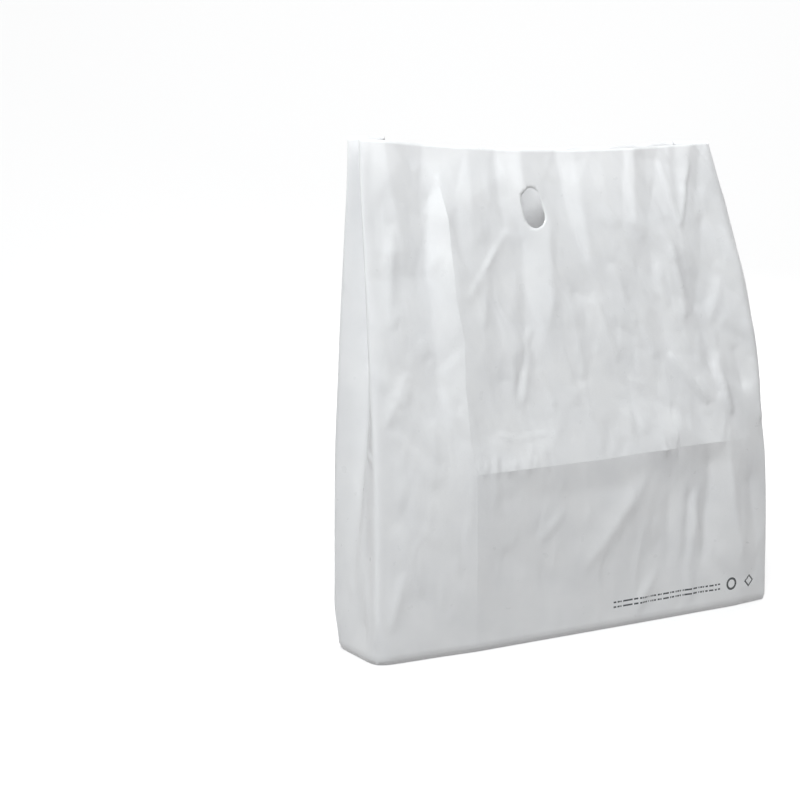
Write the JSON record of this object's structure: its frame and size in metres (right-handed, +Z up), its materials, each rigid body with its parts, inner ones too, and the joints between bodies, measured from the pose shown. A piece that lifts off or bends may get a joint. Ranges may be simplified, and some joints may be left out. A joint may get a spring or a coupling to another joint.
{
  "type": "carrier bag",
  "caption": "Side-gusset carrier bag of thin white plastic film, standing open on its base, with a punched hand hole under the rim.",
  "frame": {"origin": "on the floor under the middle of the base", "axes": "+X along the front panel to its right, +Y from the front panel to the back panel, +Z up to the mouth"},
  "size_m": [0.4501, 0.1082, 0.4641],
  "materials": {
    "white_film": "satin film, slightly translucent, creased from packing"
  },
  "bodies": {
    "root": {"bag_film": "white_film"}
  },
  "joints": []
}
